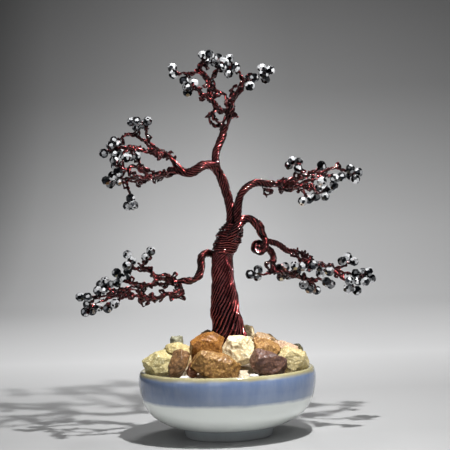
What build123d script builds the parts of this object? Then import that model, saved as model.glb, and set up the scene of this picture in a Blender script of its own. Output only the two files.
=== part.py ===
from build123d import *
from math import asin, cos, pi, radians, sin, sqrt, tan
import os

# A wire-and-bead tree standing in a small glazed bowl, in millimetres.
# The origin is the centre of the bowl's foot, +Z is up and the viewer stands at -Y.

# ---- driving dimensions ----
WIRE_D = 1.02            # enamelled copper wire, 18 gauge
WIRE_GAP = 0.12          # room between neighbouring wires of a bundle
BUNDLE_LAY = 38          # degrees between a wire and the bundle it is laid round
PAIR_LAY = 40            # the same where only two wires are twisted together
WANDER = 0.45            # how far a branch strays from its centre line
SHARPEST_TURN = 60       # degrees at one bend of a wire
EASING_PASSES = 6
CORE_STEP = 3            # between the bends of a core
BEAD_D = 4.5             # across the girdle of a faceted bead
BEAD_LENGTH = 4.1        # along its bore
BEAD_BORE = 1.2
BEAD_SIDES = 8           # facets in each tier
BEAD_TIERS = [(0, 2.12, 0), (42, 2.1, 0.5), (-42, 2.1, 0.5)]  # tilt in degrees, reach, part of a step round
SET_BACK = 0.4           # of a wire's end inside the outer face of its bead
LOOP_SPACING = 4.8       # between the small loops of wire along a branch
LOOP_OUTLINE = [(0.5, -0.45), (1.35, -1), (2.15, -0.65), (2.2, 0.5), (1.35, 1), (0.5, 0.55)]  # out, along
BEAD_CLEARANCE = 3.9     # from a loop to the middle of any bead

FOOT_R = 21.2
FOOT_HOLLOW_R = 18.0
FOOT_HOLLOW_H = 2.2
BOWL_OUTSIDE = [(22, 4.5), (29, 6.5), (33.7, 9), (36.9, 11.5), (39.2, 14.5), (40.7, 17.5),
                (41.7, 21), (42.3, 25), (42.4, 28.8), (41.8, 31.2)]
BOWL_LIP = [(40.5, 32.3), (39.2, 31.3)]
BOWL_INSIDE = [(39, 27), (37.9, 21.5), (36, 16.5), (31.5, 11.5), (24, 8.2), (12, 7.2), (0, 7)]
PLASTER_EDGE = (37.7, 25.5)
PLASTER_TOP = 36.0

# The trunk: x, height, radius of its ring of outer wires, and the turns they have made by then.
TRUNK = [(1, 33, 8.5, 0), (1, 44, 8.2, 0.12), (0.8, 53, 7.3, 0.22), (0.3, 60, 6.5, 0.31), (0, 66, 5.9, 0.4),
         (-0.4, 73, 5.35, 0.52), (-0.2, 80, 5.1, 0.66), (-0.2, 86, 4.6, 0.8), (1.5, 91, 4.3, 0.95),
         (4, 96, 4.1, 1.1)]
TRUNK_WIRES = 22
ROOTS = 5                # lobes that the foot of the trunk divides into
ROOT_DEPTH = 0.17        # of the radius
ROOT_TOP = 63            # height where the lobes fade out
# The collar of wires wound over the fork, as points on its axis with the coil radius at each.
COLLAR = [(-0.3, 0, 87.4, 4.95), (1.6, 0, 91.3, 5.5), (3.8, 0, 95.5, 5.75), (7, -0.5, 100.8, 4.3)]
COLLAR_WIRES = 10
COLLAR_TURNS = 1.25

# The ring round a bundle has one place for each wire, or fewer where some wires lie deep inside.
RING_WIRES = {"stem": 9, "lower_right": 9}

# ---- the bundles, from the trunk outwards: points along each centre line ----
BUNDLES = {
    "stem": [(4.5, 1, 97.5), (4.5, 1, 105.5), (4, 1, 111.5), (2.5, 1, 117.5), (0.5, 0, 123.5),
             (-1.5, -1, 128)],
    "apex": [(-1.5, -1, 128), (-2, -1, 133), (-0.5, 0, 138.5), (1.5, 1, 143), (3, 1, 147.5), (4, 0, 151.5)],
    "left": [(-1.5, -1, 127.5), (-4, -3, 129.5), (-8, -4, 129.5), (-11.5, -4, 127.5), (-15, -3, 126),
             (-18, -1, 127.5), (-21, 0, 129.5)],
    "right": [(7, -1, 100.5), (7.8, -2, 107), (8.6, -3, 112.5), (10.5, -4, 116.5), (13.5, -4, 119),
              (17.5, -3, 120.5), (21, -1, 120), (24.5, 1, 119.5), (27.5, 2, 119.5)],
    "lower_right": [(4, -6, 94.5), (7, -7.5, 99), (9.5, -6, 102.5), (12.5, -4, 104), (16, -3, 102),
                    (18.5, -2, 98), (20, -1, 94)],
    "arm": [(20, -1, 94), (22.5, 3, 92), (26, 5, 91), (29, 6, 89), (32, 5, 87), (35.5, 4, 87),
            (38.5, 4, 86.5)],
    "curl": [(20, -1, 94), (20.5, -2, 89.5), (18, -3, 86), (15, -2, 88.5), (17, 2, 91.5), (20, 6, 90),
             (23, 8, 87.5), (24.5, 7, 84), (23.5, 5, 80.5), (24.5, 3, 77.5)],
    "lower_left": [(-2, 4, 85), (-5, 4, 87), (-8, 2, 87.5), (-10.5, 0, 86), (-10.5, -1, 81.5),
                   (-11.5, -2, 77.5), (-14, -2, 74.5), (-18.5, -1, 75), (-22.5, 0, 75)],
}

# Each limb: the bundles its wires run through, then its branches. A branch is a twisted pair of wires.
LIMBS = {
    "apex": [
        (("stem", "apex"), [
            [(2, 1, 146.5), (-0.5, -2, 148), (-3.5, -4, 149.5), (-4.5, -6, 152), (-1.5, -6, 154.5),
             (-1.5, -5, 158), (-4, -5, 161), (-7, -7, 162.5), (-9.5, -9, 164.5), (-13, -11, 167.5)],
            [(3, 0.5, 149), (0.5, -3.5, 150), (-2.5, -5.5, 151), (-2.8, -7.5, 153.5), (0, -7.5, 156),
             (-0.5, -6, 159), (-2.8, -3.5, 162), (-3.7, -1, 166), (-4.5, 1, 169.5), (-6.5, 3, 173),
             (-10.5, 5, 175), (-15, 7, 175), (-19, 8, 175.5), (-22, 9, 176.5)],
            [(3.5, 0, 153), (4.5, 4, 158), (4, 8, 162.5), (1, 10, 166), (-3, 9, 167), (-4, 7, 171),
             (-6, 6, 175), (-7.5, 5, 178.5), (-4.5, 4, 181.5)],
            [(4, 0, 152.5), (2.5, 6, 155.5), (-1, 12, 158), (-2.5, 14, 163.5), (-3, 13, 170),
             (-2, 12, 174), (0.5, 11, 177), (3, 10, 180)],
            [(4.5, 0, 152), (6.5, -3, 154.5), (7, -5, 158), (8.5, -7, 161), (9.5, -8, 163.5),
             (11.5, -9, 166), (14, -9, 169), (15.5, -10, 168)],
            [(4.5, 0, 152), (7.5, 4, 156), (8, 7, 161), (10.5, 8, 165), (13, 7, 169), (16.5, 5, 172),
             (19.5, 4, 172), (23, 3, 173.5)],
            [(4, 2, 153), (6, 9, 158.5), (8, 14, 164), (11.5, 17, 169), (12, 19, 173.5), (10, 19, 177.5),
             (6.5, 18, 178)],
        ]),
    ],
    "left": [
        (("stem", "left"), [
            [(-21, 0, 130), (-23, -1, 133), (-24, -2, 135.5), (-27.5, -4, 136), (-32, -6, 136.5),
             (-36.5, -8, 137.5), (-40, -9, 139), (-45, -9, 139), (-50, -8, 138), (-53.5, -7, 137.5)],
            [(-21.5, 1, 130.5), (-23.5, 4, 134), (-26, 7, 137), (-30, 8, 139), (-33, 7, 141),
             (-35, 6, 143.5), (-34.5, 5, 147.5), (-35.5, 4, 151), (-38.5, 4, 152)],
            [(-23, 1, 133.5), (-29, 10, 137.5), (-34, 14, 140.5), (-38, 15, 145), (-41.5, 14, 146),
             (-45, 13, 147), (-48, 12, 144.5), (-50.5, 11, 143)],
            [(-23.5, -1, 135), (-29, -7, 135), (-34.5, -12, 136.5), (-39.5, -15, 138), (-42.5, -16, 137.5),
             (-45.5, -16, 135)],
            [(-22, 1, 128.5), (-26.5, 5, 127), (-31.5, 9, 127.5), (-36, 11, 128.5), (-39.5, 12, 130),
             (-39.5, 13, 133.5), (-42, 14, 135.5)],
            [(-21.5, 0, 129), (-26, -3, 126), (-30.5, -6, 124.5), (-34.5, -8, 125.5), (-38, -9, 128),
             (-41.5, -10, 130), (-44, -11, 128.5), (-47, -12, 126.5), (-50.5, -13, 125)],
            [(-21.5, 1, 128.5), (-25, 2, 126.5), (-30, 3, 125), (-35, 4, 124.5), (-39, 3, 124),
             (-43, 2, 125), (-45, 1, 123), (-44, 0, 119), (-43.5, -1, 116), (-44, -2, 113)],
            [(-24, 2, 127), (-30.5, 9, 125), (-36.5, 14, 124), (-41.5, 17, 123.5), (-45.5, 18, 125),
             (-49.5, 18, 125)],
            [(-23.5, -1, 127.5), (-28.5, -9, 125), (-33.5, -15, 124), (-38.5, -18, 125), (-43, -20, 128),
             (-46.5, -20, 129.5), (-49, -20, 131)],
        ]),
    ],
    "right": [
        (("right",), [
            [(27.5, 3, 119.5), (31, 5, 121.5), (34.5, 8, 122), (37.5, 11, 125), (40, 13, 127),
             (39, 14, 129), (36, 15, 130.5)],
            [(27, 2, 119.5), (31.5, 0, 119.5), (36, -2, 120.5), (41, -2, 122.5), (46, -1, 124),
             (51, 0, 125), (56, 1, 126.5), (60, 2, 125), (64.5, 3, 123.5)],
            [(27.5, 3, 119.5), (33.5, 10, 121), (39, 14, 122.5), (45, 17, 125), (49, 18, 126.5),
             (52.5, 18, 127)],
            [(27.5, 1, 119.5), (32, -6, 118), (37.5, -10, 119), (43, -12, 120.5), (49, -13, 122),
             (53, -14, 122), (55.5, -14, 120.5)],
            [(27, 2, 119), (30.5, -2, 116.5), (33.5, -6, 116), (36.5, -10, 117), (38.5, -14, 116),
             (39.5, -16, 112.5)],
            [(27.5, 3, 119), (31.5, 7, 117), (36.5, 10, 118.5), (41.5, 11, 119.5), (45.5, 11, 118.5),
             (49.5, 10, 115.5)],
            [(27.5, 1, 119.5), (31.5, -9, 117.5), (36, -16, 117.5), (40.5, -20, 117.5), (43.5, -22, 115.5),
             (46, -22, 114)],
        ]),
    ],
    "lower_right": [
        (("lower_right", "arm"), [
            [(38.5, 4, 86.5), (41.5, 8, 83), (46, 12, 80.5), (51, 15, 79), (55.5, 17, 77.5),
             (58.5, 18, 78), (61, 18, 80)],
            [(38.5, 4, 86.5), (40.5, 3, 83.5), (44, 1, 81), (48.5, -1, 79.5), (53.5, -2, 77.5),
             (58, -2, 76), (62.5, -1, 75), (67, 0, 73.5)],
            [(38.5, 3, 86.5), (39.5, -2, 82.5), (43, -7, 81), (48, -11, 79.5), (52.5, -14, 77),
             (56, -15, 74), (60, -16, 71)],
            [(38.5, 5, 86), (41, 9, 82.5), (44.5, 8, 80.5), (47, 7, 78.5), (49, 6, 76.5)],
            [(36.5, 4, 87), (35.5, 0, 84.5), (37.5, -4, 83), (40, -8, 81), (40, -10, 78)],
        ]),
        (("lower_right", "curl"), [
            [(24.5, 3, 77.5), (22.5, 0, 76.5), (19.5, -2, 76.5), (15.5, -4, 77)],
            [(24, 4, 79), (26, 8, 77.5), (29, 11, 78), (31.5, 12, 78.5)],
            [(24.5, 3, 77.5), (28.5, 0, 77), (32, -4, 77), (35, -7, 78)],
            [(24.5, 3, 77.5), (29, 3, 76.5), (34, 2, 75), (37.5, 1, 73.5), (39.5, 0, 70.5)],
            [(24.5, 4, 77.5), (30, 8, 76), (36, 12, 74), (41.5, 14, 73), (43.5, 14, 70.5), (45, 14, 68.5)],
            [(24.5, 3, 77.5), (30, -2, 76.5), (35.5, -6, 75), (41, -9, 73.5), (45.5, -11, 74),
             (49, -12, 72.5)],
        ]),
    ],
    "lower_left": [
        (("lower_left",), [
            [(-22.5, 0, 75), (-26, 3, 77), (-29.5, 5, 78), (-33, 6, 77), (-35, 7, 79), (-38, 7, 80.5),
             (-40.5, 6, 82), (-37.5, 5, 83.5), (-35.5, 4, 85.5), (-35, 3, 88)],
            [(-22.5, 0, 75), (-26.5, 5, 75.5), (-31, 10, 76.5), (-35, 13, 79), (-39.5, 14, 79.5),
             (-43, 14, 80.5), (-45.5, 13, 82.5), (-46, 12, 85.5)],
            [(-22.5, 0, 74.5), (-26.5, -5, 75), (-31, -10, 76), (-35, -12, 74), (-40, -12, 74.5),
             (-43.5, -11, 75), (-48, -10, 77)],
            [(-22.5, 1, 74.5), (-27.5, 5, 73.5), (-33, 10, 73), (-38, 14, 72), (-43.5, 16, 72.5),
             (-49.5, 16, 71), (-54.5, 15, 70.5), (-58.5, 14, 74)],
            [(-22.5, 0, 74), (-21, -2, 71), (-20, -3, 68.5), (-23, -4, 67.5), (-27, -4, 70),
             (-30.5, -4, 68), (-34, -4, 66), (-37.5, -4, 68), (-41, -3, 70.5), (-46, -2, 71.5),
             (-51.5, -1, 70), (-57, 0, 68.5), (-61, 1, 68.5), (-65.5, 2, 68.5)],
            [(-22, 1, 73), (-21.5, 4, 69), (-25, 7, 67.5), (-30, 9, 68), (-34, 11, 66), (-38, 12, 67),
             (-43, 12, 67.5), (-48, 11, 69), (-53.5, 10, 68), (-58, 9, 66.5), (-62, 8, 65), (-66, 7, 62.5)],
            [(-22, -1, 73.5), (-21.5, -6, 70), (-25, -10, 69), (-30, -13, 68), (-35, -15, 67.5),
             (-40.5, -16, 69), (-46, -16, 69), (-50.5, -16, 67), (-55, -15, 65.5)],
        ]),
    ],
}

# Curls of twisted wire that start and end on a bundle.
CURLS = {
    "right": [[(21, -2.5, 118.3), (20.3, -2.8, 116.2), (21.3, -2.4, 114.5), (23.2, -1.6, 114.3),
               (24.3, -1.2, 115.8), (24, -0.6, 117.6)],
              [(21.8, -2, 117.6), (21.6, -2.2, 116.4), (22.6, -2, 115.8), (23.4, -1, 116.6)]],
    "apex": [[(-5.5, 4.5, 173.5), (-8.5, 4.5, 175), (-8.8, 5, 178), (-6, 5.5, 179), (-4, 5, 176.5)],
             [(8.5, -6, 162), (6.5, -6.5, 164), (7.5, -6, 166.5), (10, -6.5, 165.5)]],
    "lower_right": [[(24, 3.5, 80), (21.5, 2.5, 82.5), (20.5, 2, 80), (22.5, 2.5, 78)],
                    [(15.8, -1.5, 88.5), (16.6, -0.6, 90), (18.3, 0, 89.8), (18.6, -0.6, 88),
                     (17, -1, 87.4)]],
    "lower_left": [[(-38, -4, 67.5), (-40.5, -4.5, 65), (-38, -5, 63.5), (-36, -4.5, 66)]],
}

# Where each bead sits; its short wire comes off the nearest branch.
BEADS = {
    "apex": [
        (-21.5, 12, 178.5), (-21, 5.5, 174.5), (-6.5, 6.5, 183.5), (-3, 1, 183), (-4.9, 9.7, 181.2),
        (-1, 12.5, 180.5), (1, 7.5, 182), (4, 13.5, 180.5), (6.5, 18, 183), (2.5, 7.5, 177),
        (6.5, 21.5, 178.5), (9.5, 15, 178), (6, 16.5, 175), (15.5, 9.5, 171.5), (15.5, -12.5, 165.5),
        (18, 1, 171), (22, 5, 176), (22.5, -0.5, 172.5), (26, 2, 174.5), (23.5, 5, 170.5),
        (-15.5, -9.5, 169.5), (-14, -14, 166), (-14, -9, 164), (-11, -7.5, 168.5)],
    "left": [
        (-54.5, -10.5, 136.5), (-34, 1, 152), (-36.5, 7.5, 151), (-39.3, 0.1, 152), (-42, 4, 152),
        (-40, 10, 150), (-51.5, 14, 144), (-49.5, 8, 141.5), (-52.5, 4.5, 141), (-49, -10.5, 135.5),
        (-47, -5.5, 136.5), (-43.5, -18.5, 133.5), (-43.5, 17, 136), (-40.5, 10.5, 136.5),
        (-48.5, -23, 132.5), (-48.5, -16.5, 130), (-47, -22.5, 127), (-50, -16.5, 125.5),
        (-50, 14.5, 124), (-53.5, -13, 123.5), (-52, -9, 122), (-43, -4.5, 115), (-45, 1, 111.5),
        (-41.5, -7, 111.5)],
    "right": [
        (50, 15, 128.5), (39, 17.5, 130.5), (35.5, 11.5, 131), (34, 17.5, 129), (38, 8.5, 127),
        (62.5, -1, 125.5), (67, 5.5, 124), (63.5, 8.5, 122.5), (65, 1.5, 120.5), (53.5, -17.5, 120.5),
        (57, -11, 121.5), (53, -14, 117.5), (47.5, -15.5, 119.5), (47, 7, 116.5), (50.5, 13.5, 116),
        (53, 9.5, 116.5), (50.5, 7.5, 113), (44, -19.5, 112.5), (41.5, -13, 111.5), (38, -18.5, 110.5)],
    "lower_right": [
        (16.5, -6.5, 79), (16, 0, 75.5), (12.5, -8, 77), (27.5, 14, 78.5), (30, 7, 79.5),
        (28, 10.5, 74.5), (31.5, 13.5, 75), (34, -9, 80.5), (35, -2, 77.5), (37.5, -12, 80),
        (41, -2.5, 79), (42.5, -11.5, 80.5), (46.5, 3.5, 79), (47, 9.5, 75.5), (49.5, -16.5, 77.5),
        (38, -3.5, 71), (41, 2, 68.5), (45.5, 17, 67), (48, -15.5, 72.5), (50.5, -9.5, 71),
        (58.5, 15.5, 81), (61.8, 20.2, 82.8), (64.5, 17, 80.5), (63, -4.5, 75.5), (67.2, 3.3, 75.4),
        (69.5, -0.5, 76), (71, 2, 72.5), (67.5, -2.5, 71.5), (65, 5, 71.5), (58.5, -19.5, 72.5),
        (58, -14, 69), (62, -16, 68)],
    "lower_left": [
        (-34.5, -0.5, 89.5), (-37.5, 7, 86.5), (-46.5, 9.5, 88), (-45, 15.5, 84.5), (-47, 9.5, 82.5),
        (-47, 13.5, 79.5), (-50.5, -10, 80), (-48, -13.5, 77.5), (-52.5, 16, 74), (-46, -6.5, 77),
        (-58, 11, 75.5), (-61, 16.5, 73.5), (-56.5, 18, 73.5), (-59, 12, 71), (-65.5, -1.5, 68.5),
        (-69.5, 2, 68.5), (-67, 9.5, 64.5), (-67.5, 4.5, 61), (-65, 12, 61), (-61, 5, 63),
        (-55, -12, 63.5), (-51, -19.5, 66), (-60.5, -1, 71.5)],
}

# Stones: centre, size, and how far each leans over to the right in degrees.
STONES = {
    "amber_front": ((-5, -27, 35.8), (23.5, 12, 13.5), 14),
    "purple_brown": ((19.2, -23.5, 36.2), (18, 12, 12), 24),
    "cream_left": ((-32, -9.5, 36.3), (15.5, 12, 12.5), -12),
    "cream_right": ((31, -12, 35.8), (17, 12, 12.5), 16),
    "brown_upright": ((-22.5, -20.5, 36.8), (9, 10, 15), 24),
    "white_centre": ((5.5, -15.5, 41.2), (15.5, 11, 15.5), 4),
    "amber_top": ((-8.5, -15, 43.6), (18.5, 11, 14), -10),
    "orange_right": ((18.5, -8.5, 40.2), (15, 13, 13), 18),
    "pale_yellow": ((-24.5, -3, 39.2), (15, 13, 12.5), -14),
    "pinkish": ((28, 2.5, 37.6), (15.5, 13, 12), 20),
    "beige_back": ((8.4, 17, 43), (13, 12, 17), -6),
    "tan_back": ((18.5, 13, 40.5), (15, 12, 14), 15),
    "dark_behind": ((-8.5, 13.5, 43), (7, 8, 15), -12),
    "back_left": ((-21, 17, 36.5), (16, 14, 12), 18),
    "back_middle": ((-3, 25.5, 37.5), (17, 12, 14), -14),
    "back_right": ((14, 29, 35), (15, 10, 12), 12),
    "grey_pebble": ((-24, 7, 44.6), (7, 7.5, 7), 0),
    "olive": ((34, 8, 38), (7, 8, 8.5), 10),
    "red_chip": ((-15.5, -24, 34.5), (6, 6, 8), 20),
}
ROCK_CUTS = 13
GRAVEL_RING_R = 34.0
GRAVEL_COUNT = 26
GRAVEL_SIZE = (5.5, 4.5, 5)
GRAVEL_Z = 30.2

GOLDEN_TURN = pi * (3 - sqrt(5))


def save(name, part):
    """Write one node to its own STEP file."""
    part.label = name
    export_step(part, f"parts/{name}.step")


def ring_radius(count):
    """Radius of a ring of touching wires."""
    if count == 2:
        return (WIRE_D + WIRE_GAP) / 2
    return count * (WIRE_D + WIRE_GAP) / (2 * pi * cos(radians(BUNDLE_LAY)))


def frames(route, spacing):
    """Evenly spaced (point, side, up) frames on a smooth curve, twisting as little as possible."""
    curve = Spline(*route)
    count = max(3, round(curve.length / spacing))
    side = (curve % 0).cross(Vector(0.1, 1, 0.2)).normalized()
    made = []
    for n in range(count + 1):
        along = curve % (n / count)
        side = (side - along * side.dot(along)).normalized()
        made.append((curve @ (n / count), side, along.cross(side)))
    return made


def between(rows, steps):
    """The rows of a table with each gap between two of them divided evenly."""
    fine = []
    for low, high in zip(rows, rows[1:]):
        fine += [[a + (b - a) * n / steps for a, b in zip(low, high)] for n in range(steps)]
    return fine + [rows[-1]]


def laid(route, count, slot, corners, lay=BUNDLE_LAY, wander=0):
    """Points of one wire laid round a route, in its slot of a ring of wires."""
    radius = ring_radius(count)
    pitch = 2 * pi * radius / tan(radians(lay))
    points = []
    for n, (centre, side, up) in enumerate(frames(route, pitch / corners)):
        centre = centre + side * (wander * sin(1.7 * n)) + up * (wander * sin(2.3 * n + 1))
        angle = 2 * pi * (slot / count + n / corners)
        points.append(centre + side * (radius * cos(angle)) + up * (radius * sin(angle)))
    return points


def eased(points):
    """The points less any that come too close, with every sharp corner drawn in."""
    kept = [points[0]]
    for point in points[1:]:
        if (point - kept[-1]).length > 1.1 * WIRE_D:
            kept.append(point)
    for _ in range(EASING_PASSES):
        for n in range(1, len(kept) - 1):
            if (kept[n] - kept[n - 1]).get_angle(kept[n + 1] - kept[n]) > SHARPEST_TURN:
                kept[n] = (kept[n - 1] + kept[n] + kept[n + 1]) / 3
    return kept


def wire(points, diameter=WIRE_D):
    """A round wire through the points, rounded at every bend."""
    bends = []
    for before, here, after in zip(points, points[1:], points[2:]):
        turn = radians((here - before).get_angle(after - here))
        run = min((here - before).length, (after - here).length)
        bends.append(0.45 * run / tan(turn / 2))
    with BuildPart() as made:
        with BuildLine() as path:
            FilletPolyline(*points, radius=bends)
        with BuildSketch(Plane(origin=path.line @ 0, z_dir=path.line % 0)):
            Circle(diameter / 2)
        sweep(path=path.line)
    return made.part


def group(parts):
    """Separate solids kept together in one node."""
    return Compound(children=[solid for part in parts for solid in part.solids()])


def slots(count, places):
    """A place in the ring for each wire of a bundle, or None for one deep inside, spread evenly."""
    return iter([n * places // count if n * places % count < places else None for n in range(count)])


def bundled(bundles, branch):
    """Points of one wire, from where it comes to the surface of a bundle on along its branch."""
    points = []
    for name in bundles:
        slot = next(free_slots[name])
        if slot is not None:
            points += laid(BUNDLES[name], ring_count[name], slot, 6)[:-1]
    return eased(points + laid(branch, 2, 0, 4, PAIR_LAY, WANDER)[1:])


def strung(place, walks):
    """A bead and its short wire, which leaves the nearest branch and runs through the bore."""
    starts = [(point, side.cross(up)) for walk in walks for point, side, up in walk]
    start, along = min(starts, key=lambda spot: (place - spot[0]).length)
    facing = ((place - start).normalized() + along * 0.45).normalized()
    half = BEAD_LENGTH / 2
    bead_wire = wire([start, place - facing * (half + 0.5), place + facing * (half - SET_BACK)])
    return bead_wire, bead.part.moved(Plane(origin=place, z_dir=facing).location)


def side_loops(walk, index, places):
    """Small loops of wire along one branch, each turned its own way and clear of every bead."""
    loops = []
    for n in range(4, len(walk) - 2, 6):
        point, side, up = walk[n]
        turn = GOLDEN_TURN * (n + 2 * index)
        outward = side * cos(turn) + up * sin(turn)
        if min((point + outward * 1.5 - place).length for place in places) > BEAD_CLEARANCE:
            along = side.cross(up)
            loops.append(wire([point + outward * out + along * step for out, step in LOOP_OUTLINE]))
    return loops


def rock(centre, size, start, lean=0):
    """A broken stone: a block cut to facets along directions spread evenly round it."""
    half = [length / 2 for length in size]
    with BuildPart() as made:
        Box(*size)
        for n in range(ROCK_CUTS):
            level = 1 - 2 * (n + 0.5) / ROCK_CUTS
            angle = start + n * GOLDEN_TURN
            flat = cos(asin(level))
            facing = Vector(flat * cos(angle), flat * sin(angle), level)
            reach = sqrt(sum((h * c) ** 2 for h, c in zip(half, tuple(facing))))
            reach *= 1 + 0.12 * sin(3 * angle)
            split(bisect_by=Plane(origin=facing * reach, z_dir=facing), keep=Keep.BOTTOM)
    return made.part.moved(Location(centre, (0, lean, 0)))


# ---- the bowl ----
with BuildPart() as bowl:
    with BuildSketch(Plane.XZ):
        with BuildLine():
            inner_foot = Line((FOOT_HOLLOW_R, 0), (FOOT_R - 0.6, 0))
            foot_edge = Line(inner_foot @ 1, (FOOT_R, 0.6))
            foot_side = Line(foot_edge @ 1, BOWL_OUTSIDE[0])
            outside = Spline(*BOWL_OUTSIDE)
            lip = ThreePointArc(outside @ 1, BOWL_LIP[0], BOWL_LIP[1])
            inside = Spline(lip @ 1, *BOWL_INSIDE, tangents=[(0.05, -1), (-1, 0)])
            axis = Line(inside @ 1, (0, FOOT_HOLLOW_H))
            hollow_top = Line(axis @ 1, (FOOT_HOLLOW_R - 1.5, FOOT_HOLLOW_H))
            Line(hollow_top @ 1, inner_foot @ 0)
        make_face()
    revolve(axis=Axis.Z)

# ---- the stones ----
stones = {}
for index, (name, (centre, size, lean)) in enumerate(STONES.items()):
    stone = rock(centre, size, 1.7 * index, lean)
    for placed in stones.values():
        if stone.bounding_box().overlaps(placed.bounding_box()):
            stone = stone - placed
    stones[name] = stone.solids().sort_by(SortBy.VOLUME)[-1]

# ---- the trunk ----
with BuildPart() as trunk_core:
    for x, z, radius, turns in TRUNK:
        lobes = ROOT_DEPTH * max(0, ROOT_TOP - z) / (ROOT_TOP - TRUNK[0][1])
        with BuildSketch(Plane.XY.offset(z)):
            with Locations((x, 0)):
                Circle(radius * (1 - lobes) - 0.45 * WIRE_D)
    loft()

# Every second wire comes from inside: at the foot it lies between its neighbours, and it sinks
# under them higher up.
trunk_wires = []
for slot in range(2 * TRUNK_WIRES):
    around = pi * slot / TRUNK_WIRES
    points = []
    for x, z, radius, turns in between(TRUNK, 2):
        lobes = ROOT_DEPTH * max(0, ROOT_TOP - z) / (ROOT_TOP - TRUNK[0][1])
        sunk = slot % 2 * (0.1 + 1.3 * (z - TRUNK[0][1]) / (ROOT_TOP - TRUNK[0][1]))
        reach = radius * (1 + lobes * cos(ROOTS * around)) - sunk
        if slot % 2 == 0 or z < ROOT_TOP:
            angle = around + 2 * pi * turns
            points.append(Vector(x + reach * cos(angle), reach * sin(angle), z))
    trunk_wires.append(wire(points))

# ---- the collar wound over the fork ----
collar_axis = Spline(*[point[:3] for point in COLLAR])
collar_size = Spline(*[(point[2], point[3]) for point in COLLAR])
collar = []
for slot in range(COLLAR_WIRES):
    points = []
    for n in range(round(10 * COLLAR_TURNS) + 1):
        share = n / (10 * COLLAR_TURNS)
        along = collar_axis % share
        side = along.cross(Vector(0, 1, 0)).normalized()
        radius = (collar_size @ share).Y + 0.3 * (slot % 3 - 1)
        angle = 2 * pi * (slot / COLLAR_WIRES + n / 10)
        outward = side * cos(angle) + along.cross(side) * sin(angle)
        points.append(collar_axis @ share + outward * radius)
    collar.append(wire(points))

# ---- the filling that holds the trunk and the stones ----
with BuildPart() as plaster:
    with BuildSketch(Plane.XZ):
        with BuildLine():
            wall = Spline((PLASTER_EDGE[0], PLASTER_EDGE[1]), (37.2, 21.5), (35.4, 16.7), (31, 12),
                          (23.8, 8.6), (12, 7.5), (0, 7.3), tangents=[(0, -1), (-1, 0)])
            middle = Line(wall @ 1, (0, PLASTER_TOP))
            ThreePointArc(middle @ 1, (22, 32.5), PLASTER_EDGE)
        make_face()
    revolve(axis=Axis.Z)
    with Locations((TRUNK[0][0], 0, TRUNK[0][1])):
        Cylinder(TRUNK[0][2] + 0.6, 10, align=(Align.CENTER, Align.CENTER, Align.MIN), mode=Mode.SUBTRACT)
    for stone in stones.values():
        add(stone, mode=Mode.SUBTRACT)

# ---- white gravel round the edge, wherever no stone lies ----
gravel = []
for n in range(GRAVEL_COUNT):
    angle = 2 * pi * n / GRAVEL_COUNT
    spot = Vector(GRAVEL_RING_R * cos(angle), GRAVEL_RING_R * sin(angle), GRAVEL_Z)
    chip = rock(spot, GRAVEL_SIZE, 2.3 * n)
    if all(chip.distance_to(stone) > 0.05 for stone in stones.values()):
        gravel.append(chip)
for chip in gravel:
    plaster.part = plaster.part - chip

# ---- one bead, ready to be strung ----
with BuildPart() as bead:
    Box(BEAD_D, BEAD_D, BEAD_LENGTH)
    for tilt, reach, shift in BEAD_TIERS:
        for n in range(BEAD_SIDES):
            turn = 2 * pi * (n + shift) / BEAD_SIDES
            flat = cos(radians(tilt))
            facing = Vector(flat * cos(turn), flat * sin(turn), sin(radians(tilt)))
            split(bisect_by=Plane(origin=facing * reach, z_dir=facing), keep=Keep.BOTTOM)
    Cylinder(BEAD_BORE / 2, BEAD_LENGTH + 1, mode=Mode.SUBTRACT)

# ---- how many wires each bundle carries, and a core to lay them round ----
carried = {name: 0 for name in BUNDLES}
for families in LIMBS.values():
    for bundles, branches in families:
        for name in bundles:
            carried[name] += len(branches)
ring_count = {name: RING_WIRES.get(name, count) for name, count in carried.items()}
free_slots = {name: slots(count, ring_count[name]) for name, count in carried.items()}

cores = {}
for name, route in BUNDLES.items():
    inner = [point for point, side, up in frames(route, CORE_STEP)[:-1]]
    cores[name] = wire(inner, 2 * ring_radius(ring_count[name]) - WIRE_D)

# ---- the limbs ----
os.makedirs("parts", exist_ok=True)
for limb, families in LIMBS.items():
    first_wires = [wire(bundled(bundles, branch)) for bundles, branches in families for branch in branches]
    branches = [branch for bundles, group_branches in families for branch in group_branches]
    partner_wires = [wire(eased(laid(branch, 2, 1, 4, PAIR_LAY, WANDER))) for branch in branches]
    for curl in CURLS.get(limb, []):
        partner_wires += [wire(eased(laid(curl, 2, slot, 4, PAIR_LAY))) for slot in (0, 1)]

    walks = [frames(branch, LOOP_SPACING / 6) for branch in branches]
    places = [Vector(*place) for place in BEADS[limb]]
    strings = [strung(place, walks) for place in places]
    loops = []
    for index, walk in enumerate(walks):
        loops += side_loops(walk, index, places)

    save(f"{limb}_wires", group(first_wires))
    save(f"{limb}_partner_wires", group(partner_wires))
    save(f"{limb}_bead_wires", group([bead_wire for bead_wire, placed_bead in strings]))
    save(f"{limb}_wire_loops", group(loops))
    save(f"{limb}_beads", group([placed_bead for bead_wire, placed_bead in strings]))

# ---- the other nodes ----
save("bowl", bowl.part)
save("plaster_filling", plaster.part)
save("white_gravel", group(gravel))
save("trunk_core", trunk_core.part)
save("trunk_wires", group(trunk_wires))
save("collar_wires", group(collar))
for name in ("stem", "apex", "left", "right", "lower_left"):
    save(f"{name}_core", group([cores[name]]))
save("lower_right_core", group([cores["lower_right"], cores["arm"], cores["curl"]]))
for name, stone in stones.items():
    save(f"stone_{name}", Compound(children=[stone]))
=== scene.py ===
import math

import bmesh
import bpy
from mathutils import Matrix, Vector, noise


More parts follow.
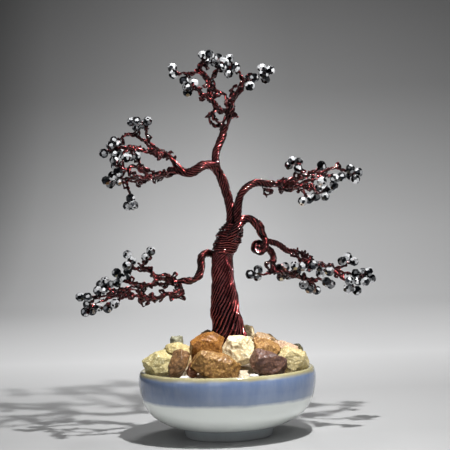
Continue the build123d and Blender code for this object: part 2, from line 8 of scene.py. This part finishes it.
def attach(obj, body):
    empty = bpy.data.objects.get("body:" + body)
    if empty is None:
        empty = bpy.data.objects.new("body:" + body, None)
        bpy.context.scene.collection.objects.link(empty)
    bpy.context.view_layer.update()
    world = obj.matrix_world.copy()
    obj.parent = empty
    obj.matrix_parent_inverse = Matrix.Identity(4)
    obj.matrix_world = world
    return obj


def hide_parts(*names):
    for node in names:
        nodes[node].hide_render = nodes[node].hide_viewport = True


# The looks of a wire-and-bead tree in a small bowl of stones, in metres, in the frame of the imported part.

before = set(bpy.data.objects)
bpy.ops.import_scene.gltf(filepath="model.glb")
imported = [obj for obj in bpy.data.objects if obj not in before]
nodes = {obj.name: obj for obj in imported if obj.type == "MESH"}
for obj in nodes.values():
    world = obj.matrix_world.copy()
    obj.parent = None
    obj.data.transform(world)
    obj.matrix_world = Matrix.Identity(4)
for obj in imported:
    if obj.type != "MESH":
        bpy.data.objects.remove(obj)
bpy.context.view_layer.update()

MM = 0.001
LIMBS = ("apex", "left", "right", "lower_right", "lower_left")

# Heights on the bowl where its glaze changes. The topmost one is a little above the rim.
# Up to this height the foot is painted dark grey, as painted shade.
FOOT_TOP = 4.5 * MM
BAND_LOW = 19.0 * MM
BAND_HIGH = 30.0 * MM
RIM_LOW = 31.2 * MM
GLAZE_TOP = 34.0 * MM

# Over what length the wires wander out of their lay, and how strongly.
KINK_SIZE = 3.0 * MM
BUNDLE_KINK = 0.7 * MM
BRANCH_KINK = 3.2 * MM
TRUNK_KINK_SIZE = 7.0 * MM
TRUNK_KINK = 1.6 * MM

# Enamel of the wires: the painted highlight on each wire's outer ridge, its bright and dark patches, and
# the painted shade in the grooves between wires.
TRUNK_ENAMEL = ((0.27, 0.050, 0.050), (0.12, 0.012, 0.014), (0.04, 0.004, 0.006), (0.005, 0.001, 0.002))
LIMB_ENAMEL = ((0.20, 0.032, 0.033), (0.045, 0.004, 0.005), (0.016, 0.002, 0.003), (0.003, 0.001, 0.001))
BRANCH_ENAMEL = ((0.065, 0.007, 0.008), (0.05, 0.005, 0.006), (0.018, 0.002, 0.003), (0.003, 0.001, 0.001))
# The cores are painted nearly black: painted shade where the inner wires of a bundle would lie in shadow.
CORE_SHADE_ENAMEL = ((0.02, 0.003, 0.003), (0.02, 0.003, 0.003), (0.01, 0.001, 0.001), (0.004, 0.001, 0.001))

# Colours of the stones, and of what they are bedded in: lighter, darker and vein.
STONE_COLOURS = {
    "amber_front": ((0.38, 0.200, 0.050), (0.17, 0.075, 0.016), (0.60, 0.40, 0.14)),
    "amber_top": ((0.38, 0.155, 0.018), (0.16, 0.052, 0.006), (0.56, 0.29, 0.06)),
    "orange_right": ((0.44, 0.24, 0.075), (0.22, 0.10, 0.025), (0.66, 0.48, 0.22)),
    "tan_back": ((0.42, 0.27, 0.13), (0.24, 0.14, 0.06), (0.62, 0.46, 0.29)),
    "brown_upright": ((0.25, 0.13, 0.05), (0.10, 0.045, 0.015), (0.40, 0.25, 0.13)),
    "dark_behind": ((0.16, 0.085, 0.04), (0.07, 0.035, 0.015), (0.28, 0.17, 0.09)),
    "red_chip": ((0.26, 0.10, 0.04), (0.12, 0.04, 0.02), (0.42, 0.24, 0.15)),
    "purple_brown": ((0.16, 0.074, 0.045), (0.065, 0.028, 0.021), (0.26, 0.15, 0.10)),
    "cream_left": ((0.62, 0.54, 0.27), (0.34, 0.27, 0.11), (0.86, 0.82, 0.58)),
    "cream_right": ((0.66, 0.56, 0.31), (0.40, 0.31, 0.13), (0.86, 0.81, 0.60)),
    "white_centre": ((0.92, 0.82, 0.56), (0.64, 0.48, 0.24), (0.96, 0.93, 0.80)),
    "pale_yellow": ((0.62, 0.51, 0.25), (0.38, 0.29, 0.11), (0.80, 0.72, 0.46)),
    "pinkish": ((0.62, 0.43, 0.29), (0.40, 0.24, 0.14), (0.80, 0.66, 0.50)),
    "beige_back": ((0.70, 0.56, 0.34), (0.44, 0.31, 0.15), (0.86, 0.77, 0.58)),
    "back_left": ((0.66, 0.50, 0.27), (0.42, 0.28, 0.12), (0.82, 0.71, 0.49)),
    "back_middle": ((0.44, 0.24, 0.10), (0.24, 0.11, 0.04), (0.68, 0.49, 0.29)),
    "back_right": ((0.62, 0.45, 0.32), (0.40, 0.26, 0.17), (0.80, 0.68, 0.54)),
    "grey_pebble": ((0.34, 0.33, 0.22), (0.17, 0.16, 0.10), (0.55, 0.53, 0.40)),
    "olive": ((0.32, 0.28, 0.14), (0.16, 0.13, 0.05), (0.50, 0.45, 0.27)),
}
SMOOTH_STONES = ("purple_brown", "grey_pebble", "olive", "brown_upright")
FILLING_COLOURS = ((0.62, 0.53, 0.40), (0.40, 0.32, 0.22), (0.78, 0.71, 0.60))
GRAVEL_COLOURS = ((0.86, 0.85, 0.80), (0.68, 0.64, 0.56), (0.95, 0.95, 0.93))

# Painted light and shade on the backdrop: how pale it is painted, by the distance along it from the tree
# and by the distance to the side.
BACKDROP_PAINTED_LIGHT = [(0.0, 0.355), (0.15, 0.505), (0.35, 0.99), (1.0, 0.99),
                  (1.3, 0.80), (1.5, 0.58), (1.75, 0.29), (2.05, 0.11)]
BACKDROP_PAINTED_SIDE_SHADE = [(-0.39, 0.18), (-0.28, 0.58), (-0.10, 0.90), (0.0, 1.0), (0.12, 0.78), (0.42, 0.58)]


# ---- small helpers for node materials ----
def new_material(name):
    """A material with its Principled shader, and a mapping in metres."""
    material = bpy.data.materials.new(name)
    material.use_nodes = True
    tree = material.node_tree
    shader = tree.nodes["Principled BSDF"]
    place = tree.nodes.new("ShaderNodeTexCoord").outputs["Object"]
    return material, tree, shader, place


def feed(tree, value, socket):
    """Gives a socket a number, a colour or what comes out of another node."""
    if isinstance(value, bpy.types.NodeSocket):
        tree.links.new(value, socket)
    elif isinstance(value, tuple):
        socket.default_value = (*value, 1)
    else:
        socket.default_value = value


def noise_node(tree, place, size, detail=4.0, roughness=0.55, squeeze=None):
    """Noise whose features are about size metres across, squeezed along x, y and z if asked."""
    if squeeze:
        mapping = tree.nodes.new("ShaderNodeMapping")
        mapping.inputs["Scale"].default_value = squeeze
        tree.links.new(place, mapping.inputs["Vector"])
        place = mapping.outputs["Vector"]
    node = tree.nodes.new("ShaderNodeTexNoise")
    node.inputs["Scale"].default_value = 1 / size
    node.inputs["Detail"].default_value = detail
    node.inputs["Roughness"].default_value = roughness
    tree.links.new(place, node.inputs["Vector"])
    return node.outputs["Fac"]


def openness_node(tree, reach):
    """1 where nothing stands within reach metres of the surface, down to 0 where it is closed in."""
    node = tree.nodes.new("ShaderNodeAmbientOcclusion")
    node.inputs["Distance"].default_value = reach
    node.samples = 8
    return node.outputs["AO"]


def split_node(tree, place):
    """The x, y and z of a place, by their names."""
    node = tree.nodes.new("ShaderNodeSeparateXYZ")
    tree.links.new(place, node.inputs["Vector"])
    return node.outputs


def grey(value):
    """A colour of equal red, green and blue."""
    return (value, value, value)


def ramp(tree, factor, stops):
    """A colour ramp through (position, colour) stops."""
    node = tree.nodes.new("ShaderNodeValToRGB")
    elements = node.color_ramp.elements
    while len(elements) < len(stops):
        elements.new(0.5)
    for element, (position, colour) in zip(elements, stops):
        element.position = position
        element.color = (*colour, 1)
    tree.links.new(factor, node.inputs["Fac"])
    return node.outputs["Color"]


def maths(tree, operation, first, second):
    """One calculation with two values, each a number or what comes out of a node."""
    node = tree.nodes.new("ShaderNodeMath")
    node.operation = operation
    for socket, value in zip(node.inputs, (first, second)):
        feed(tree, value, socket)
    return node.outputs[0]


def mixed(tree, factor, first, second, blend="MIX"):
    """The first colour where factor is 0, and the second one blended over it where factor is 1."""
    node = tree.nodes.new("ShaderNodeMix")
    node.data_type = "RGBA"
    node.blend_type = blend
    feed(tree, factor, node.inputs["Factor"])
    feed(tree, first, node.inputs["A"])
    feed(tree, second, node.inputs["B"])
    return node.outputs["Result"]


def bump(tree, shader, height, strength, distance):
    """Raises the surface by a height that comes out of a node, up to distance metres."""
    node = tree.nodes.new("ShaderNodeBump")
    node.inputs["Strength"].default_value = strength
    node.inputs["Distance"].default_value = distance
    tree.links.new(height, node.inputs["Height"])
    tree.links.new(node.outputs["Normal"], shader.inputs["Normal"])


def coat(shader, weight, roughness):
    """A clear layer over the surface."""
    shader.inputs["Coat Weight"].default_value = weight
    shader.inputs["Coat Roughness"].default_value = roughness


# ---- materials ----
def wire_material(name, enamel, narrowing=0.0):
    """Copper under burgundy enamel, with a painted highlight on the outer ridge of each wire, and painted
    shade where the wires meet and in the deep hollows between them.

    Narrowing, from 0 to 1, leaves a thinner line of each wire free of the shade of its neighbours.
    """
    painted_ridge_highlight, bright, dark, painted_groove_shade = enamel
    material, tree, shader, place = new_material(name)
    patches = noise_node(tree, place, 5 * MM, 5)
    patchy_enamel = ramp(tree, patches, [(0.3, dark), (0.7, bright)])
    # Painted highlight: the pale colour put on the outermost ridge of each wire, where the light would
    # catch it.
    worn = ramp(tree, patches, [(0.3, bright), (0.55, painted_ridge_highlight)])
    # Painted shade: the enamel goes dark where neighbouring wires close it in.
    crevice = openness_node(tree, 0.9 * MM)
    clear = ramp(tree, crevice, [(0.6 + 0.4 * narrowing, grey(0.0)), (0.93 + 0.07 * narrowing, grey(1.0))])
    # Where the painted highlight goes: the most open ridge of each wire.
    ridge = ramp(tree, crevice, [(0.92 + 0.08 * narrowing, grey(0.0)), (1.0, grey(1.0))])
    # Painted shade: the deeper hollows between the bundles are darkened as well.
    daylight = ramp(tree, openness_node(tree, 6 * MM), [(0.25, grey(0.15)), (0.75, grey(1.0))])
    lit = maths(tree, "MULTIPLY", clear, daylight)
    skin = mixed(tree, ridge, patchy_enamel, worn)
    tree.links.new(mixed(tree, lit, painted_groove_shade, skin), shader.inputs["Base Color"])
    scuffs = noise_node(tree, place, 0.7 * MM, 3)
    sheen = ramp(tree, scuffs, [(0.3, grey(0.14)), (0.75, grey(0.32))])
    tree.links.new(sheen, shader.inputs["Roughness"])
    bump(tree, shader, scuffs, 0.25, 0.05 * MM)
    shader.inputs["Metallic"].default_value = 1.0
    coat(shader, 0.6, 0.08)
    return material


def bead_material():
    """Faceted glass under an opaque hematite-coloured metal film.

    Each facet is painted dark, grey or bright as a whole by the way it faces, in steep steps: painted
    reflections of dark and bright surroundings, with the bright facets also less metallic.
    """
    material, tree, shader, place = new_material("hematite_bead")
    facet = tree.nodes.new("ShaderNodeNewGeometry").outputs["True Normal"]
    tone = noise_node(tree, facet, 0.4, 1)
    film = noise_node(tree, place, 2.5 * MM, 2)
    # Painted reflections: pale grey for facets that would mirror bright surroundings, near black for those
    # that would mirror dark ones.
    light = ramp(tree, film, [(0.3, (0.62, 0.64, 0.66)), (0.7, (0.90, 0.90, 0.91))])
    dark = ramp(tree, film, [(0.3, (0.012, 0.014, 0.018)), (0.7, (0.05, 0.054, 0.062))])
    shade = ramp(tree, tone, [(0.46, grey(0.0)), (0.48, grey(0.3)), (0.53, grey(0.3)), (0.56, grey(1.0))])
    tree.links.new(mixed(tree, shade, dark, light), shader.inputs["Base Color"])
    # The facets painted bright are made less metallic, so their painted reflection stays pale.
    tree.links.new(ramp(tree, tone, [(0.53, grey(1.0)), (0.56, grey(0.65))]), shader.inputs["Metallic"])
    haze = noise_node(tree, place, 0.8 * MM, 3)
    tree.links.new(ramp(tree, haze, [(0.35, grey(0.05)), (0.8, grey(0.15))]), shader.inputs["Roughness"])
    return material


def glaze_material():
    """White glaze with a streaky blue band and an olive-tan rim, and painted shade on the foot, which is
    painted dark grey.

    The glaze has run, so the heights where it changes wander by about a millimetre.
    """
    # Painted shade: the foot stands in the bowl's own shadow, so it is painted dark grey, lighter towards
    # its top.
    foot_shade = (0.34, 0.35, 0.35)
    foot_shade_top = (0.42, 0.46, 0.48)
    white = (0.88, 0.92, 0.88)
    pale_blue = (0.215, 0.275, 0.40)
    blue = (0.140, 0.195, 0.325)
    rim = (0.34, 0.30, 0.16)
    pale_rim = (0.42, 0.38, 0.20)
    material, tree, shader, place = new_material("bowl_glaze")
    drift = noise_node(tree, place, 14 * MM, 4, squeeze=(1, 1, 2.5))
    run = maths(tree, "MULTIPLY", maths(tree, "SUBTRACT", drift, 0.5), 2.2 * MM)
    height = maths(tree, "ADD", split_node(tree, place)["Z"], run)
    bands = ramp(tree, maths(tree, "DIVIDE", height, GLAZE_TOP), [
        (0.0, foot_shade),
        (FOOT_TOP / GLAZE_TOP, foot_shade_top),
        (FOOT_TOP / GLAZE_TOP + 0.06, white),
        (BAND_LOW / GLAZE_TOP - 0.02, white),
        (BAND_LOW / GLAZE_TOP + 0.03, pale_blue),
        ((BAND_LOW + BAND_HIGH) / 2 / GLAZE_TOP, blue),
        (BAND_HIGH / GLAZE_TOP, blue),
        (RIM_LOW / GLAZE_TOP, rim),
        (1.0, pale_rim),
    ])
    streaks = noise_node(tree, place, 5 * MM, 6, squeeze=(1, 1, 0.35))
    amount = ramp(tree, streaks, [(0.4, grey(0.0)), (0.8, grey(0.12))])
    milk = ramp(tree, streaks, [(0.0, (0.62, 0.68, 0.74)), (1.0, (0.8, 0.82, 0.82))])
    tree.links.new(mixed(tree, amount, bands, milk), shader.inputs["Base Color"])
    pits = noise_node(tree, place, 1.5 * MM, 4)
    tree.links.new(ramp(tree, pits, [(0.3, grey(0.1)), (0.8, grey(0.24))]), shader.inputs["Roughness"])
    bump(tree, shader, noise_node(tree, place, 9 * MM, 2), 0.12, 0.4 * MM)
    coat(shader, 0.5, 0.06)
    return material


def stone_material(name, light, dark, vein, roughness):
    """Broken quartz: cloudy patches, crystal grains of their own shade, pale veins and a rough skin."""
    material, tree, shader, place = new_material("stone_" + name)
    clouds = noise_node(tree, place, 4 * MM, 8, roughness=0.72)
    body = ramp(tree, clouds, [(0.36, dark), (0.47, light), (0.57, light), (0.68, vein)])
    crystals = tree.nodes.new("ShaderNodeTexVoronoi")
    crystals.inputs["Scale"].default_value = 1 / (1.1 * MM)
    tree.links.new(place, crystals.inputs["Vector"])
    speckle = noise_node(tree, place, 0.6 * MM, 5, roughness=0.7)
    shade = maths(tree, "ADD", crystals.outputs["Distance"], speckle)
    grains = ramp(tree, shade, [(0.6, vein), (0.78, light), (0.98, dark)])
    patches = ramp(tree, noise_node(tree, place, 3 * MM, 3), [(0.35, grey(0.35)), (0.65, grey(0.85))])
    tree.links.new(mixed(tree, patches, body, grains), shader.inputs["Base Color"])
    sheen = ramp(tree, shade, [(0.5, grey(roughness - 0.15)), (1.0, grey(roughness + 0.25))])
    tree.links.new(sheen, shader.inputs["Roughness"])
    bump(tree, shader, shade, 0.5, 0.4 * MM)
    coat(shader, 0.12, 0.2)
    return material


def dress(piece, material):
    """Gives a CAD node or a new piece its one material."""
    piece.data.materials.clear()
    piece.data.materials.append(material)


# ---- wires, beads and bowl: the CAD nodes themselves ----
def kink(piece, strength, size=KINK_SIZE):
    """Bends the wires of a piece out of their even lay, all those at one place by the same amount."""
    clouds = bpy.data.textures.new(piece.name + "_kinks", "CLOUDS")
    clouds.cloud_type = "COLOR"
    clouds.noise_scale = size
    clouds.noise_depth = 1
    bend = piece.modifiers.new("kinks", "DISPLACE")
    bend.texture = clouds
    bend.texture_coords = "LOCAL"
    bend.direction = "RGB_TO_XYZ"
    bend.mid_level = 0.5
    bend.strength = strength


def finish_wires():
    """The trunk's wires are the palest, those of the limbs darker, and the slender branches nearly black;
    the cores within are painted shade, darkest of all.
    """
    trunk_look = wire_material("burgundy_wire", TRUNK_ENAMEL)
    limb_look = wire_material("burgundy_limb_wire", LIMB_ENAMEL, narrowing=0.75)
    branch_look = wire_material("burgundy_branch_wire", BRANCH_ENAMEL)
    core_shade_look = wire_material("burgundy_wire_core_shade", CORE_SHADE_ENAMEL)
    for limb in LIMBS:
        dress(nodes[f"{limb}_wires"], limb_look)
        kink(nodes[f"{limb}_wires"], BUNDLE_KINK)
        for kind in ("partner_wires", "wire_loops"):
            dress(nodes[f"{limb}_{kind}"], branch_look)
            kink(nodes[f"{limb}_{kind}"], BRANCH_KINK)
        dress(nodes[f"{limb}_bead_wires"], branch_look)
        # Painted shade: where the core shows through gaps between the wires, it reads as a dark shadow.
        dress(nodes[f"{limb}_core"], core_shade_look)
    for name in ("trunk_wires", "collar_wires"):
        dress(nodes[name], trunk_look)
        kink(nodes[name], TRUNK_KINK, TRUNK_KINK_SIZE)
    # The trunk's and stem's cores carry the same painted shade.
    for name in ("trunk_core", "stem_core"):
        dress(nodes[name], core_shade_look)


def finish_beads():
    """All the beads have one look, and every facet its own painted reflection."""
    look = bead_material()
    for limb in LIMBS:
        dress(nodes[f"{limb}_beads"], look)


# ---- stones, filling and gravel: the CAD shapes with worn edges, chips and grain ----
def weathered(name, voxel, depth, feature, rounding, seed):
    """A new piece in place of a CAD node, kept inside it.

    Chips about feature metres across go in by about depth, and rounding is how often the edges are worn.
    """
    piece = bpy.data.objects.new(name + "_rock", nodes[name].data.copy())
    bpy.context.scene.collection.objects.link(piece)
    remesh = piece.modifiers.new("remesh", "REMESH")
    remesh.mode = "VOXEL"
    remesh.voxel_size = voxel
    smooth = piece.modifiers.new("smooth", "SMOOTH")
    smooth.iterations = rounding
    smooth.factor = 0.5
    evaluated = piece.evaluated_get(bpy.context.evaluated_depsgraph_get())
    mesh = bpy.data.meshes.new_from_object(evaluated)
    piece.modifiers.clear()
    piece.data = mesh
    sink(mesh, depth, feature, seed)
    for polygon in mesh.polygons:
        polygon.use_smooth = True
    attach(piece, "root")
    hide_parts(name)
    return piece


def sink(mesh, depth, feature, seed):
    """Moves the skin inward by broad hollows, sharp chips and fine grain.

    Each seed takes its own stretch of the noise, so no two pieces are worn alike.
    """
    offset = Vector((seed * 3.7, seed * 1.3, seed * 2.1))
    moved = []
    for vertex in mesh.vertices:
        spot = vertex.co / feature + offset
        hollows = noise.noise(spot * 0.45)
        chips = abs(noise.noise(spot))
        grain = noise.noise(spot * 3.1)
        inward = max(0.0, 0.35 + 0.5 * hollows + chips + 0.25 * grain)
        moved.append(vertex.co - vertex.normal * depth * inward)
    for vertex, place in zip(mesh.vertices, moved):
        vertex.co = place


def make_stones():
    """The smooth stones are rounder and glossier than the freshly broken ones."""
    for seed, (name, colours) in enumerate(STONE_COLOURS.items()):
        rounding, roughness = (8, 0.25) if name in SMOOTH_STONES else (3, 0.42)
        stone = weathered("stone_" + name, voxel=0.4 * MM, depth=0.75 * MM, feature=3.2 * MM,
                          rounding=rounding, seed=seed)
        dress(stone, stone_material(name, *colours, roughness))


def make_bedding():
    """The sandy filling that the stones are set in, and the white chips between them."""
    filling = weathered("plaster_filling", voxel=0.6 * MM, depth=0.5 * MM, feature=1.6 * MM,
                        rounding=2, seed=41)
    dress(filling, stone_material("filling", *FILLING_COLOURS, roughness=0.7))
    gravel = weathered("white_gravel", voxel=0.3 * MM, depth=0.3 * MM, feature=1.8 * MM,
                       rounding=4, seed=43)
    dress(gravel, stone_material("gravel", *GRAVEL_COLOURS, roughness=0.5))


# ---- studio ----
def backdrop_material():
    """Matt paper with painted light and shade: palest some way behind the tree, and painted darker near it,
    far up and off to either side.
    """
    reach = 2.4
    half_width = 0.5
    material, tree, shader, place = new_material("painted_light_backdrop")
    spot = split_node(tree, place)
    away = maths(tree, "DIVIDE", maths(tree, "ADD", spot["Y"], spot["Z"]), reach)
    # Painted light and shade along the backdrop, and painted shade off to either side.
    painted_light_tones = ramp(tree, away, [(distance / reach, grey(tone)) for distance, tone in BACKDROP_PAINTED_LIGHT])
    aside = maths(tree, "ADD", spot["X"], half_width)
    painted_side_shade = ramp(tree, aside, [(x + half_width, grey(tone)) for x, tone in BACKDROP_PAINTED_SIDE_SHADE])
    fading = ramp(tree, away, [(0.2, grey(0.45)), (0.4, grey(1.0))])
    tree.links.new(mixed(tree, fading, painted_light_tones, painted_side_shade, "MULTIPLY"), shader.inputs["Base Color"])
    shader.inputs["Roughness"].default_value = 0.7
    return material


def make_backdrop():
    """A pale floor that curves up into a backdrop."""
    width = 5.0
    front = -3.0
    back = 1.5
    bend = 0.6
    top = 2.6
    steps = 12
    profile = [(front, 0.0), (back - bend, 0.0)]
    for n in range(1, steps + 1):
        angle = math.pi / 2 * n / steps
        profile.append((back - bend + bend * math.sin(angle), bend - bend * math.cos(angle)))
    profile.append((back, top))
    made = bmesh.new()
    rows = []
    for x in (-width / 2, width / 2):
        rows.append([made.verts.new((x, y, z)) for y, z in profile])
    for n in range(len(profile) - 1):
        made.faces.new((rows[0][n], rows[1][n], rows[1][n + 1], rows[0][n + 1]))
    mesh = bpy.data.meshes.new("backdrop")
    made.to_mesh(mesh)
    made.free()
    for polygon in mesh.polygons:
        polygon.use_smooth = True
    backdrop = bpy.data.objects.new("backdrop", mesh)
    bpy.context.scene.collection.objects.link(backdrop)
    mesh.materials.append(backdrop_material())


def area_light(name, place, aim, size, watts):
    """A square light at place, facing aim."""
    light = bpy.data.lights.new(name, "AREA")
    light.shape = "SQUARE"
    light.size = size
    light.energy = watts
    holder = bpy.data.objects.new(name, light)
    bpy.context.scene.collection.objects.link(holder)
    holder.location = place
    holder.rotation_mode = "QUATERNION"
    holder.rotation_quaternion = (Vector(aim) - Vector(place)).to_track_quat("-Z", "Y")


def make_lights():
    """One small close lamp that casts the shadow, three weak windows, and a glow on the backdrop."""
    middle = (0, 0, 0.09)
    area_light("lamp", (0.060, -0.120, 0.305), (-0.02, 0.02, 0.03), 0.009, 1.7)
    area_light("window_right", (0.75, -0.35, 0.45), middle, 0.3, 0.8)
    area_light("window_left", (-0.75, -0.45, 0.40), middle, 0.3, 0.5)
    area_light("window_front", (-0.25, -1.2, 0.55), middle, 0.6, 1.2)
    area_light("backdrop_lamp", (0.10, 0.55, 1.6), (0.1, 1.5, 0.25), 0.4, 15.0)
    world = bpy.data.worlds.new("studio")
    bpy.context.scene.world = world
    world.use_nodes = True
    background = world.node_tree.nodes["Background"]
    background.inputs["Color"].default_value = (0.86, 0.88, 0.92, 1)
    background.inputs["Strength"].default_value = 0.11


def make_camera():
    """Level with the middle of the tree, and tilted by two degrees about its own axis."""
    place = Vector((0.0015, -0.6, 0.10075))
    tilt = math.radians(2)
    camera = bpy.data.cameras.new("camera")
    camera.sensor_width = 36
    camera.lens = 100
    camera.clip_start = 0.01
    camera.clip_end = 20
    holder = bpy.data.objects.new("camera", camera)
    bpy.context.scene.collection.objects.link(holder)
    right = Vector((math.cos(tilt), 0, -math.sin(tilt)))
    up = Vector((math.sin(tilt), 0, math.cos(tilt)))
    back = Vector((0, -1, 0))
    turned = Matrix((right, up, back)).transposed()
    holder.matrix_world = Matrix.Translation(place) @ turned.to_4x4()
    bpy.context.scene.camera = holder


finish_wires()
finish_beads()
dress(nodes["bowl"], glaze_material())
make_stones()
make_bedding()
make_backdrop()
make_lights()
make_camera()
bpy.context.scene.view_settings.view_transform = "Standard"
